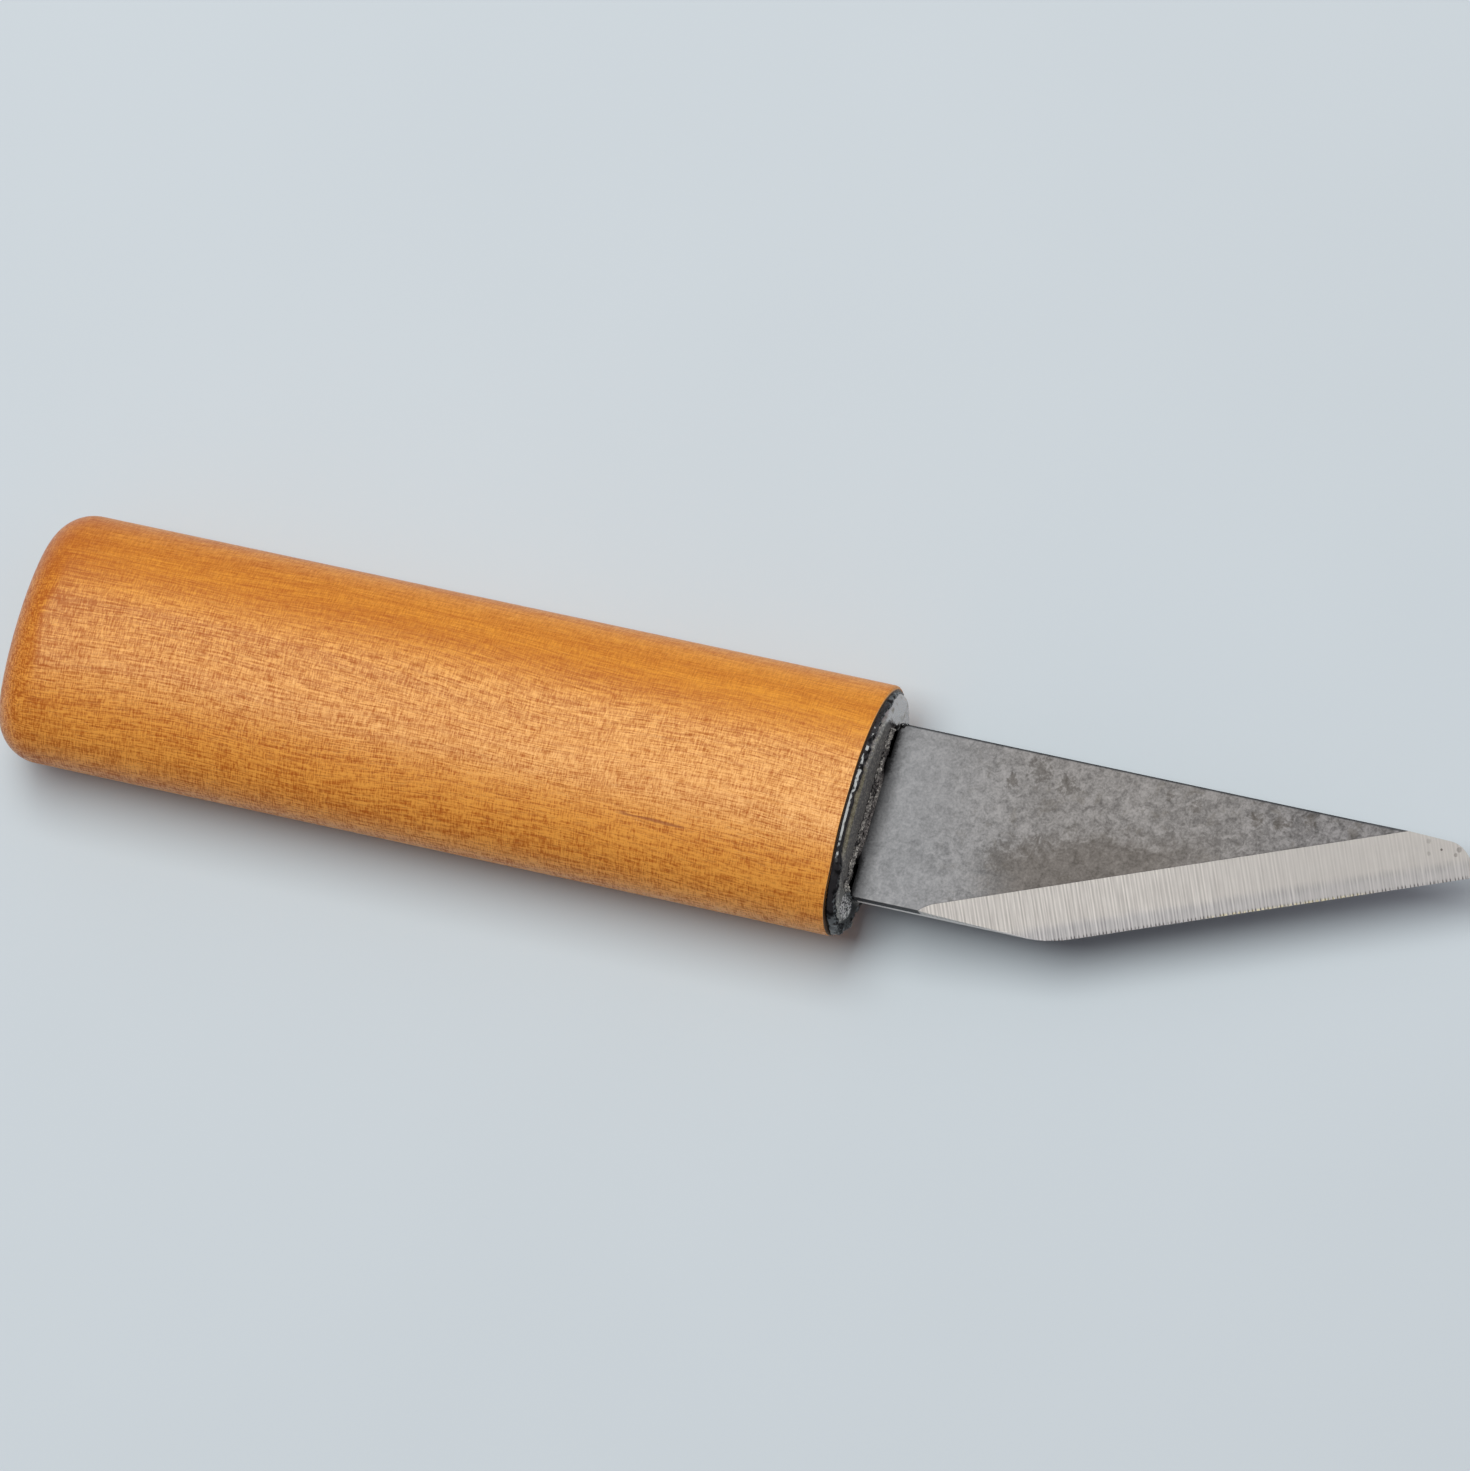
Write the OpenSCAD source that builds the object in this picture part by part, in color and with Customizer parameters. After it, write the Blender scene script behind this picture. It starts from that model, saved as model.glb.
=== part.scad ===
// Marking knife with a single-bevel laminated blade, fixed in an oval wooden handle.
// It lies flat: +X runs to the tip, +Y to the spine, +Z up. The bevel is on the upper side.
// The origin is under the middle of the knife, on the surface that it lies on.

/* [Handle] */
// Length of the wood from the butt to the mouth
handle_len = 104.6; // [85:0.2:130]
// Width of the oval handle
handle_w = 30; // [27:0.5:36]
// Thickness of the handle, over its two narrow flats
handle_t = 16; // [14:0.5:22]
// Width of the flat that the handle lies on, and of the one on top
rest_flat = 6; // [4:0.5:9]
// Radius that rounds the edge of the butt
butt_round = 5.4; // [3:0.1:6.2]
// Chamfer round the mouth
mouth_chamfer = 0.35; // [0.1:0.05:0.6]

/* [Mouth plate] */
// Wood left round the seat of the plate
rim_wall = 0.7; // [0.65:0.05:1.2]
// Resin gap between the wood and the edge of the plate
rim_gap = 0.4; // [0.2:0.05:0.8]
// Height of the resin bead above the wood
rim_bead_h = 0.3; // [0.1:0.05:0.5]
// Thickness of the plate
plate_t = 2.4; // [1.8:0.1:4]
// How far the plate stands out of the wood
plate_proud = 0.9; // [0.6:0.05:1.4]
// Radius that rounds the front edge of the plate
plate_edge_r = 0.9; // [0.5:0.05:1.4]
// Clearance round the tang in the slot of the plate
slot_gap = 0.15; // [0.05:0.05:0.4]

/* [Blade] */
// Width of the blade from the lower edge to the spine
blade_w = 21; // [16:0.5:23]
// Thickness of the blade and of the tang
blade_t = 2.2; // [1.6:0.1:4]
// Reach of the tip beyond the wood
blade_reach = 70.7; // [60:0.1:90]
// Shift of the blade towards the spine, off the middle of the handle
blade_shift = 0.2; // [-0.5:0.1:0.5]
// Angle between the cutting edge and the spine
edge_angle = 21; // [18:0.5:30]
// Width of the bevel across the edge, seen from above
bevel_w = 6; // [4:0.1:9]
// Radius of the belly between the lower edge and the cutting edge
belly_r = 15; // [5:1:25]
// Radius of the rounded tip
tip_r = 2.85; // [1.5:0.05:4]
// Turn of the tip's arc past level before it meets the cutting edge
tip_turn = 12; // [0:1:20]
// Radius of the two corners beside the plate
shoulder_r = 0.6; // [0.2:0.1:1.5]
// Gap between the plate and the blade's shoulders, filled with resin
shoulder_gap = 0.4; // [0.2:0.05:0.8]
// Thickness of the hard steel layer under the soft iron
steel_t = 0.7; // [0.4:0.05:1.2]

/* [Tang] */
// Reach of the tang into the wood
tang_len = 64; // [45:1:75]
// Width of the tang at the plate
tang_w = 13; // [9:0.5:14]
// Width of the tang at its far end
tang_end_w = 7; // [5:0.5:9]
// Length of the straight neck in the wood before the tang tapers
neck_len = 6; // [3:0.5:12]

/* [Resin] */
// Resin bedding on each side of the tang
bedding_gap = 0.6; // [0.3:0.1:1.2]
// Height of the resin at the blade's root, above and below the blade
root_h = 1.3; // [0.5:0.1:1.8]
// How far the root resin runs onto the blade from the plate
root_reach = 1.3; // [0.8:0.1:2]
// Height of the resin's front lip on the blade
root_lip = 0.35; // [0.2:0.05:0.5]
// How far the root resin stops short of the spine and of the lower edge
root_inset = 0.7; // [0.3:0.1:1.5]

/* [Hidden] */

// Steps round an oval and round a quarter of an edge rounding
oval_steps = 72;
round_steps = 6;
arc_steps = 12;
// Overshoot of a cutting solid past the face that it cuts
over = 1;
// Least flat kept on the butt, on each side of its middle
butt_flat = 1;

// Seat of the mouth plate
seat_w = handle_w - 2 * rim_wall;
seat_t = handle_t - 2 * rim_wall;
seat_depth = plate_t - plate_proud;
plate_w = seat_w - 2 * rim_gap;
plate_h = seat_t - 2 * rim_gap;
butt_r = min(butt_round, handle_t / 2 - butt_flat);
// Thickness that the oval would have without its flats
oval_t = handle_t / sqrt(1 - pow(rest_flat / handle_w, 2));

// Blade outline, with x measured from the mouth and y from the middle of the handle
spine_y = blade_w / 2 + blade_shift;
low_y = spine_y - blade_w;
shoulder_x = plate_proud + shoulder_gap;
tip_centre = [blade_reach - tip_r, spine_y - tip_r];
tip_point = tip_centre + tip_r * [cos(tip_turn), -sin(tip_turn)];
belly_point = [tip_point.x - (tip_point.y - low_y) / tan(edge_angle), low_y];
belly_centre = belly_point + belly_r * [-tan(edge_angle / 2), 1];
steel_top = steel_t - blade_t / 2;

// Place of the mouth along X that centres the whole knife on the origin
mouth_x = (handle_len - blade_reach) / 2;

wood = "#d08c48";
iron = "#86858a";
edge_steel = "#a9a8a6";
plate_steel = "#7d7c7c";
resin = "#1b1c1e";

// Moves a piece from the mouth's frame to the knife's own frame
module in_place() {
    translate([mouth_x, 0, handle_t / 2]) children();
}

// One oval section across the knife, as points at x
function oval_ring(x, w, t) =
    [for (i = [0 : oval_steps - 1])
        [x, w / 2 * cos(360 * i / oval_steps), t / 2 * sin(360 * i / oval_steps)]];

// Points of an arc from one angle to another
function arc(centre, r, from, to) =
    [for (i = [0 : arc_steps]) centre + r * [cos(from + (to - from) * i / arc_steps),
                                             sin(from + (to - from) * i / arc_steps)]];

// Solid through oval sections given as [x, width, thickness], from the butt towards the tip
module oval_loft(sections) {
    n = oval_steps;
    last = len(sections) - 1;
    points = [for (s = sections) each oval_ring(s[0], s[1], s[2])];
    back_cap = [[for (i = [0 : n - 1]) i]];
    front_cap = [[for (i = [n - 1 : -1 : 0]) last * n + i]];
    sides = [for (k = [0 : last - 1], i = [0 : n - 1])
        let (a = k * n + i, b = k * n + (i + 1) % n)
        each [[a, a + n, b], [b, a + n, b + n]]];
    polyhedron(points, concat(back_cap, sides, front_cap));
}

// Straight oval bar from x0 to x1
module oval_bar(x0, x1, w, t) {
    oval_loft([[x0, w, t], [x1, w, t]]);
}

// Flat outline laid in the knife's plane, from one height to another
module flat(z0, z1) {
    translate([0, 0, z0]) linear_extrude(z1 - z0) children();
}

// Outside of the whole handle before its flats, with its round butt and chamfered mouth
module handle_form() {
    butt = [for (i = [0 : round_steps])
        let (a = 90 * i / round_steps, inset = butt_r * (1 - sin(a)))
        [-handle_len + butt_r * (1 - cos(a)), handle_w - 2 * inset, oval_t - 2 * inset]];
    mouth = [[-mouth_chamfer, handle_w, oval_t],
             [0, handle_w - 2 * mouth_chamfer, oval_t - 2 * mouth_chamfer]];
    oval_loft(concat(butt, mouth));
}

// Outside of the mouth plate, rounded along its front edge
module plate_form() {
    front = [for (i = [0 : round_steps])
        let (a = 90 * i / round_steps, inset = plate_edge_r * (1 - cos(a)))
        [plate_proud - plate_edge_r * (1 - sin(a)), plate_w - 2 * inset, plate_h - 2 * inset]];
    oval_loft(concat([[-seat_depth, plate_w, plate_h]], front));
}

// Outline of the tang, grown on its sides and at its end, as far forward as x1
module tang_outline(grow, x1) {
    neck_y = tang_w / 2 + grow;
    end_y = tang_end_w / 2 + grow;
    neck_x = -seat_depth - neck_len;
    end_x = -tang_len - grow;
    polygon([[x1, neck_y], [neck_x, neck_y], [end_x, end_y],
             [end_x, -end_y], [neck_x, -neck_y], [x1, -neck_y]]);
}

// Space that the tang and its bedding take in the wood
module mortise(x1) {
    half = blade_t / 2 + bedding_gap;
    flat(-half, half) tang_outline(bedding_gap, x1);
}

// Outline of the blade beyond the plate: belly, tip, then the two shoulders
module blade_outline() {
    top_corner = [shoulder_x + shoulder_r, spine_y - shoulder_r];
    low_corner = [shoulder_x + shoulder_r, low_y + shoulder_r];
    polygon(concat(
        arc(belly_centre, belly_r, -90, edge_angle - 90),
        arc(tip_centre, tip_r, -tip_turn, 90),
        arc(top_corner, shoulder_r, 90, 180),
        arc(low_corner, shoulder_r, 180, 270)));
}

// Everything above the bevel: a wedge that runs along the cutting edge
module above_bevel() {
    slope = blade_t / bevel_w;
    reach = bevel_w + over;
    run = blade_reach + tang_len;
    low = -blade_t / 2;
    translate([belly_point.x, belly_point.y, 0])
        rotate([90, 0, 90 + edge_angle])
            translate([0, 0, -run / 2])
                linear_extrude(run)
                    polygon([[-reach, low - slope * reach], [reach, low + slope * reach],
                             [-reach, low + slope * reach]]);
}

// Room under the soft iron that the hard steel layer fills
module steel_room() {
    translate([shoulder_x, low_y - over, steel_top - blade_t])
        cube([blade_reach, blade_w + 2 * over, blade_t]);
}

// One glued half of the handle, with its flat, half of the mortise and half of the plate's seat
module handle_half() {
    difference() {
        intersection() {
            handle_form();
            translate([-handle_len - over, -handle_w, 0])
                cube([handle_len + 2 * over, 2 * handle_w, handle_t / 2]);
        }
        oval_bar(-seat_depth, over, seat_w, seat_t);
        mortise(0);
    }
}

module handle_upper_half() {
    color(wood) in_place() handle_half();
}

module handle_lower_half() {
    color(wood) in_place() mirror([0, 0, 1]) handle_half();
}

// Oval steel plate let into the mouth, with the slot for the tang
module mouth_plate() {
    slot_w = tang_w + 2 * slot_gap;
    slot_t = blade_t + 2 * slot_gap;
    color(plate_steel) in_place() difference() {
        plate_form();
        translate([-seat_depth - over, -slot_w / 2, -slot_t / 2])
            cube([plate_t + 2 * over, slot_w, slot_t]);
    }
}

// Resin squeezed out between the wood and the plate
module rim_resin() {
    hole_w = plate_w - 2 * plate_edge_r;
    hole_t = plate_h - 2 * plate_edge_r;
    color(resin) in_place() difference() {
        oval_bar(-seat_depth, rim_bead_h, seat_w, seat_t);
        oval_bar(-seat_depth - over, rim_bead_h + over, hole_w, hole_t);
        plate_form();
    }
}

// Resin packed round the blade's root, between its shoulders and the plate
module root_resin() {
    width = blade_w - 2 * root_inset;
    base_t = blade_t + 2 * root_h;
    lip_t = blade_t + 2 * root_lip;
    base_x = shoulder_gap / 2;
    color(resin) in_place() difference() {
        translate([plate_proud, blade_shift, 0]) hull() {
            translate([0, -width / 2, -base_t / 2]) cube([base_x, width, base_t]);
            translate([0, -width / 2, -lip_t / 2]) cube([root_reach, width, lip_t]);
        }
        flat(-blade_t / 2, blade_t / 2) blade_outline();
        flat(-blade_t / 2, blade_t / 2) tang_outline(0, blade_reach / 2);
    }
}

// Resin that beds the tang in the mortise
module tang_bedding() {
    color(resin) in_place() difference() {
        mortise(-seat_depth);
        flat(-blade_t / 2, blade_t / 2) tang_outline(0, 0);
    }
}

// Soft iron body of the blade, in one piece with its tang
module blade_iron() {
    color(iron) in_place() difference() {
        flat(-blade_t / 2, blade_t / 2) {
            blade_outline();
            tang_outline(0, shoulder_x + shoulder_r + over);
        }
        steel_room();
        above_bevel();
    }
}

// Hard steel layer that carries the cutting edge, welded under the iron
module blade_edge_steel() {
    color(edge_steel) in_place() difference() {
        intersection() {
            flat(-blade_t / 2, blade_t / 2) blade_outline();
            steel_room();
        }
        above_bevel();
    }
}

handle_upper_half();
handle_lower_half();
mouth_plate();
rim_resin();
root_resin();
tang_bedding();
blade_iron();
blade_edge_steel();
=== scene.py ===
"""Marking knife: surfaces, finishes, light and camera. Lengths are in millimetres until a mesh is made."""
import math

import bmesh
import bpy
import numpy as np
from mathutils import Matrix, Vector


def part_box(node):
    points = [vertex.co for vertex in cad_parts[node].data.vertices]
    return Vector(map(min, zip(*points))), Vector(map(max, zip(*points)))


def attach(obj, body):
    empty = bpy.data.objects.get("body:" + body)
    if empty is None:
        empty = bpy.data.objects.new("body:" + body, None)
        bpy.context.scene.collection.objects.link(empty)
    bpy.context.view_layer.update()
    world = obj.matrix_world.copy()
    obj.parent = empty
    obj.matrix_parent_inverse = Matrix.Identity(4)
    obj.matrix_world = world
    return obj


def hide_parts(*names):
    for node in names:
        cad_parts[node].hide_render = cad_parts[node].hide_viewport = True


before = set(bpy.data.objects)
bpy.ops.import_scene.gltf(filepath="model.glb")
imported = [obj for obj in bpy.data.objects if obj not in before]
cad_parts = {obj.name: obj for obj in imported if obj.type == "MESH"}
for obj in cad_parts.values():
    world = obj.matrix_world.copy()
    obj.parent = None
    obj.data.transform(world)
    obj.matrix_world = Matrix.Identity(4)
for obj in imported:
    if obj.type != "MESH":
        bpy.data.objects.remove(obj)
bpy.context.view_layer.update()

# Millimetres in a metre
PER_METRE = 1000


def node_box(node):
    """Lowest and highest corner of a CAD node."""
    low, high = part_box(node)
    return np.array(low) * PER_METRE, np.array(high) * PER_METRE


upper_low, upper_high = node_box("handle_upper_half")
plate_low, plate_high = node_box("mouth_plate")
iron_low, iron_high = node_box("blade_iron")
steel_low, steel_high = node_box("blade_edge_steel")

# Handle
BUTT_X, MOUTH_X = upper_low[0], upper_high[0]
HALF_W, MID_Z = upper_high[1], upper_low[2]
HALF_T = upper_high[2] - MID_Z
REST_FLAT = 6.0
OVAL_T = HALF_T / math.sqrt(1 - (REST_FLAT / 2 / HALF_W) ** 2)
FLAT_BLEND = 0.07
BUTT_ROUND = 5.4
# Mouth: its rounding, what the spine's end adds to that, and how far round from there
MOUTH_SOFT, MOUTH_EASE, EASE_REACH = 0.12, 0.42, 0.2
# Mouth: how far the wood is set back at its lower end, and the places across between which it steps back
MOUTH_CUT, CUT_FROM_Y, CUT_TO_Y = 0.35, -8.0, -14.0
# Seam: how far its edges dip in, over what height, the angles close to it, and where the even angles start
SEAM_DIP, SEAM_REACH = 0.05, 0.06
SEAM_TURNS = (0, 0.002, 0.004, 0.006, 0.009, 0.013, 0.02)
EVEN_FROM = 0.035

# Mouth plate and its resin
PLATE_BACK, PLATE_FRONT = plate_low[0], plate_high[0]
PLATE_W, PLATE_T = plate_high[1], plate_high[2] - MID_Z
PLATE_ROUND = 0.9
PLATE_SHIFT = 0.3
RIM_WALL = 0.7
# Resin: how far its hidden edges sink in, and the least height of the bead over the wood
RESIN_SINK, RESIN_SKIN = 0.02, 0.004
# Bead: where it starts in from the handle's side, its lap onto the plate, its spill and reach over the wood
BEAD_START, BEAD_LAP, BEAD_SPILL, BEAD_REACH = 0.76, 0.26, 0.58, 0.3
# Bead: plain height, then what the upper side, the spill and the lower end add and the spine's end loses
BEAD_H, UPPER_H, SPILL_H, LOWER_H, SPINE_DIP = 0.42, 0.2, 0.14, 0.22, 0.2
# Bead: how far round the dip at the spine's end goes, and the height under the middle where the upper side
# starts, with its ease, both as shares of half the thickness
DIP_REACH, UPPER_FROM, UPPER_EASE = 0.06, -0.15, 0.5
# Bead: the angles round it between which it spills, and the turns over which that starts and stops
SPILL_FROM, SPILL_TO, SPILL_START, SPILL_STOP = 2.95, 4.7, 0.25, 0.5
# Bead: the place from which it grows fuller towards the lower end, over how long, and how much wider it gets
LOWER_Y, LOWER_LONG, LOWER_WIDER = -6.5, 4.0, 0.22
# Bead: middle and half length of its smooth stretch, and the share of its lumps that is lost there
SMOOTH_Y, SMOOTH_LONG, SMOOTH_SHARE = -4.0, 4.0, 0.8
# Bead: amount, cell and seed of each layer of noise, in its height, start, width, crumbs and swell
BEAD_LUMPS = ((0.55, 1.4, 3), (0.4, 0.6, 4))
BEAD_RAGGED = ((0.3, 0.8, 7),)
BEAD_WIDTHS = ((0.3, 1.1, 5),)
BEAD_CRUMBS = ((0.16, 0.34, 6), (0.09, 0.17, 8))
BEAD_SWELL = ((0.1, 0.45, 9),)
# Bead: its outline, as shares of its width and of its height
BEAD_ACROSS = (0, 0.02, 0.1, 0.18, 0.32, 0.5, 0.75, 0.92, 1)
BEAD_RISE = (-0.35, 0.15, 0.76, 0.93, 0.99, 1, 0.95, 0.8, 0.5)
# Root resin: its outline, as lengths out from the plate, lengths added where it is full, and heights
ROOT_OUT = (-0.06, 0.05, 0.14, 0.21, 0.23, 0.18, 0.06, 0.02, 0.02, 0.02, 0.12, 0.42, 0.45)
ROOT_FILL = (0, 0, 0, 0, 0, 0.04, 0.13, 0.2, 0.3, 0.34, 0.28, 0, 0)
ROOT_UP = (3.3, 3.2, 3.0, 2.7, 2.4, 2.15, 1.95, 1.7, 1.0, 0.4, 0.22, 0.2, 0.12)
# Root resin: the stretch that is nearly full, and the length over which it eases off at each end
FULL_LOW_Y, FULL_HIGH_Y, FULL_EASE = -6.2, 5.2, 1.6
# Root resin: how far inside the spine it starts and how far past the lower edge it ends
ROOT_INSIDE, ROOT_PAST = 0.75, 0.1
# Root resin: what each end adds to its reach, and over what length, at the spine and at the lower edge
SPINE_REACH, SPINE_LONG, EDGE_REACH, EDGE_LONG = 0.35, 1.3, 0.4, 1.0
# Root resin: its layers of noise, their amounts outward and upward, and the height where they start, and ease
ROOT_LUMPS = ((1.0, 0.9, 11), (0.8, 0.4, 12), (0.6, 0.2, 13))
LUMP_OUT, LUMP_UP, LUMP_FROM, LUMP_EASE = 0.34, 0.45, 0.9, 0.5
# Loose crumbs: their layer of noise
CRUMB_LUMPS = ((0.9, 0.35, 14),)

# Blade
SHOULDER_X, TIP_X = steel_low[0], steel_high[0]
LOW_Y, SPINE_Y = steel_low[1], steel_high[1]
BACK_Z, WELD_Z, TOP_Z = steel_low[2], steel_high[2], iron_high[2]
TANG_X = iron_low[0]
TANG_W, TANG_END_W, NECK_LEN = 13.0, 7.0, 6.0
TANG_INSET, TANG_LAP = 0.03, 1.0
BLADE_T = TOP_Z - BACK_Z
EDGE_ANGLE = math.radians(21)
BEVEL_W = 6.0
BELLY_R = 15.0
TIP_R, TIP_TURN = 2.85, math.radians(12)
SHOULDER_R = 0.6
SPINE_ROUND, HEEL_ROUND = 0.2, 0.06
# Where the crease ends, the length over which the spine's rounding shrinks, and the least share of that
CREASE_END, CREASE_FADE, ROUND_LEAST = 43.0, 6.0, 0.1
# Nose of the bevel: the length behind the belly point from which it lifts, and how fast
NOSE_AT, NOSE_LIFT = 12.2, 0.0445
BEDDING_GAP, SLOT_GAP = 0.6, 0.15
# Cutting shapes: how far they go past what they cut, and how far short of the mouth the mortise's ends
CUT_PAST, MORTISE_SHORT = 1.0, 0.5
# Crumbs by the spine at the shoulder: place and half width of each
CRUMBS = ((SHOULDER_X - 0.05, SPINE_Y - 0.55, TOP_Z - 0.1, 0.4),
          (SHOULDER_X + 0.4, SPINE_Y - 0.25, TOP_Z - 0.1, 0.32),
          (SHOULDER_X + 0.9, SPINE_Y - 0.12, TOP_Z - 0.06, 0.18))
# Teeth of the cutting edge: where they end, their depth against the ridges' height, their mean and most depth
TEETH_END, TEETH_GAIN, TEETH_MEAN, TEETH_MOST = 48.8, 22, 0.04, 0.15
COS, SIN, TAN = math.cos(EDGE_ANGLE), math.sin(EDGE_ANGLE), math.tan(EDGE_ANGLE)
TIP_CENTRE = np.array([TIP_X - TIP_R, SPINE_Y - TIP_R])
TIP_POINT = TIP_CENTRE + TIP_R * np.array([math.cos(TIP_TURN), -math.sin(TIP_TURN)])
BELLY_POINT = np.array([TIP_POINT[0] - (TIP_POINT[1] - LOW_Y) / TAN, LOW_Y])
WELD_D = (WELD_Z - BACK_Z) * BEVEL_W / BLADE_T


def along_edge(x, y):
    """Turns plan points into lengths along the cutting edge and across it, both from the belly point."""
    x, y = x - BELLY_POINT[0], y - BELLY_POINT[1]
    return x * COS + y * SIN, y * COS - x * SIN


def in_plan(e, d):
    """Turns lengths along and across the cutting edge back into plan points."""
    return BELLY_POINT[0] + e * COS - d * SIN, BELLY_POINT[1] + e * SIN + d * COS


# Lattice noise: how many random values it has, and the factors that spread the lattice's places over them
NOISE_VALUES, NOISE_FACTORS = 8192, (73856093, 19349663, 83492791)


def noise(points, cell, seed):
    """Smooth random field from 0 to 1: random values on a lattice of this cell, blended by a cubic."""
    table = np.random.default_rng(seed).random(NOISE_VALUES)
    at = points / cell
    base = np.floor(at).astype(np.int64)
    part = at - base
    part = part * part * (3 - 2 * part)
    total = 0.0
    for corner in np.ndindex(2, 2, 2):
        spot = base + np.array(corner)
        key = (spot * np.array(NOISE_FACTORS)).sum(-1) % NOISE_VALUES
        weight = np.where(np.array(corner) == 1, part, 1 - part).prod(-1)
        total = total + weight * table[key]
    return total


def lumps(points, layers):
    """Sum of layers of noise about zero, each with its own amount, cell and seed."""
    return sum(amount * (noise(points, cell, seed) - 0.5) for amount, cell, seed in layers)


def grid_faces(rows, columns):
    """Four-cornered faces of a grid of points whose columns close into a ring."""
    index = np.arange(rows * columns).reshape(rows, columns)
    index = np.hstack([index, index[:, :1]])
    corners = [index[:-1, :-1], index[:-1, 1:], index[1:, 1:], index[1:, :-1]]
    return np.stack(corners, -1).reshape(-1, 4)


# Points nearer than this, in metres, are merged
MERGE = 1e-6


def ring_mesh(name, *shells):
    """Closed mesh of one or more grids of points, row by row, with doubles merged and faces outward."""
    work = bmesh.new()
    for rows in shells:
        part = bpy.data.meshes.new("part")
        part.from_pydata((rows.reshape(-1, 3) / PER_METRE).tolist(), [], grid_faces(*rows.shape[:2]).tolist())
        work.from_mesh(part)
        bpy.data.meshes.remove(part)
    bmesh.ops.remove_doubles(work, verts=work.verts, dist=MERGE)
    bmesh.ops.recalc_face_normals(work, faces=work.faces)
    mesh = bpy.data.meshes.new(name)
    work.to_mesh(mesh)
    work.free()
    return mesh


# Degrees past which an edge stays sharp: on most pieces, on the blade, and on the resin, which has none
SHARP, BLADE_SHARP, RESIN_SHARP = 35, 12, 180


def place(name, mesh, node, finish, sharp=SHARP):
    """Puts a mesh in the scene in place of a CAD node, smooth except at sharp edges."""
    mesh.shade_smooth()
    mesh.set_sharp_from_angle(angle=math.radians(sharp))
    mesh.materials.clear()
    mesh.materials.append(finish)
    piece = bpy.data.objects.new(name, mesh)
    bpy.context.scene.collection.objects.link(piece)
    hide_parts(node)
    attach(piece, "root")


def capped(rows):
    """The rows with both ends closed: each end row is drawn to its own middle."""
    first, last = (rows[end].mean(0)[None, None].repeat(rows.shape[1], 1) for end in (0, -1))
    return np.concatenate([first, rows, last])


def cut_away(mesh, *tools):
    """The mesh less each of the tool meshes."""
    body = bpy.data.objects.new("body", mesh)
    bpy.context.scene.collection.objects.link(body)
    cutters = [bpy.data.objects.new("cutter", tool) for tool in tools]
    for cutter in cutters:
        bpy.context.scene.collection.objects.link(cutter)
        step = body.modifiers.new("cut", "BOOLEAN")
        step.operation, step.solver, step.object = "DIFFERENCE", "EXACT", cutter
    result = bpy.data.meshes.new_from_object(body.evaluated_get(bpy.context.evaluated_depsgraph_get()))
    for spare in [body, *cutters]:
        bpy.data.objects.remove(spare)
    return result


def oval_rows(x, half_w, half_t, steps):
    """Oval rings across X, one for each x with its half width and half thickness."""
    turn = np.linspace(0, 2 * np.pi, steps, endpoint=False)
    x, half_w, half_t = (np.asarray(v, float)[:, None] for v in (x, half_w, half_t))
    return np.stack(np.broadcast_arrays(x, half_w * np.cos(turn), MID_Z + half_t * np.sin(turn)), -1)


def bar_rows(x, half_w, low_z, high_z):
    """Closed bar of four corners along X, with its own half width at each x."""
    x, half_w = np.asarray(x, float)[:, None], np.asarray(half_w, float)[:, None]
    y = half_w * np.array([-1, 1, 1, -1])
    z = np.array([low_z, low_z, high_z, high_z])
    return capped(np.stack(np.broadcast_arrays(x, y, z), -1))


def tang_rows(grow, front_x):
    """Tang: a straight neck and then a taper, with this much added on every side."""
    neck_x = PLATE_BACK - NECK_LEN
    half_w = np.array([TANG_END_W, TANG_W, TANG_W]) / 2 + grow
    return bar_rows([TANG_X - grow, neck_x, front_x], half_w, BACK_Z - grow, TOP_Z + grow)


def mouth_end(y):
    """X of the wood's end: one plane, set back in a smooth step towards the lower end."""
    share = np.clip((y - CUT_FROM_Y) / (CUT_TO_Y - CUT_FROM_Y), 0, 1)
    return MOUTH_X - MOUTH_CUT * share * share * (3 - 2 * share)


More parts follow.
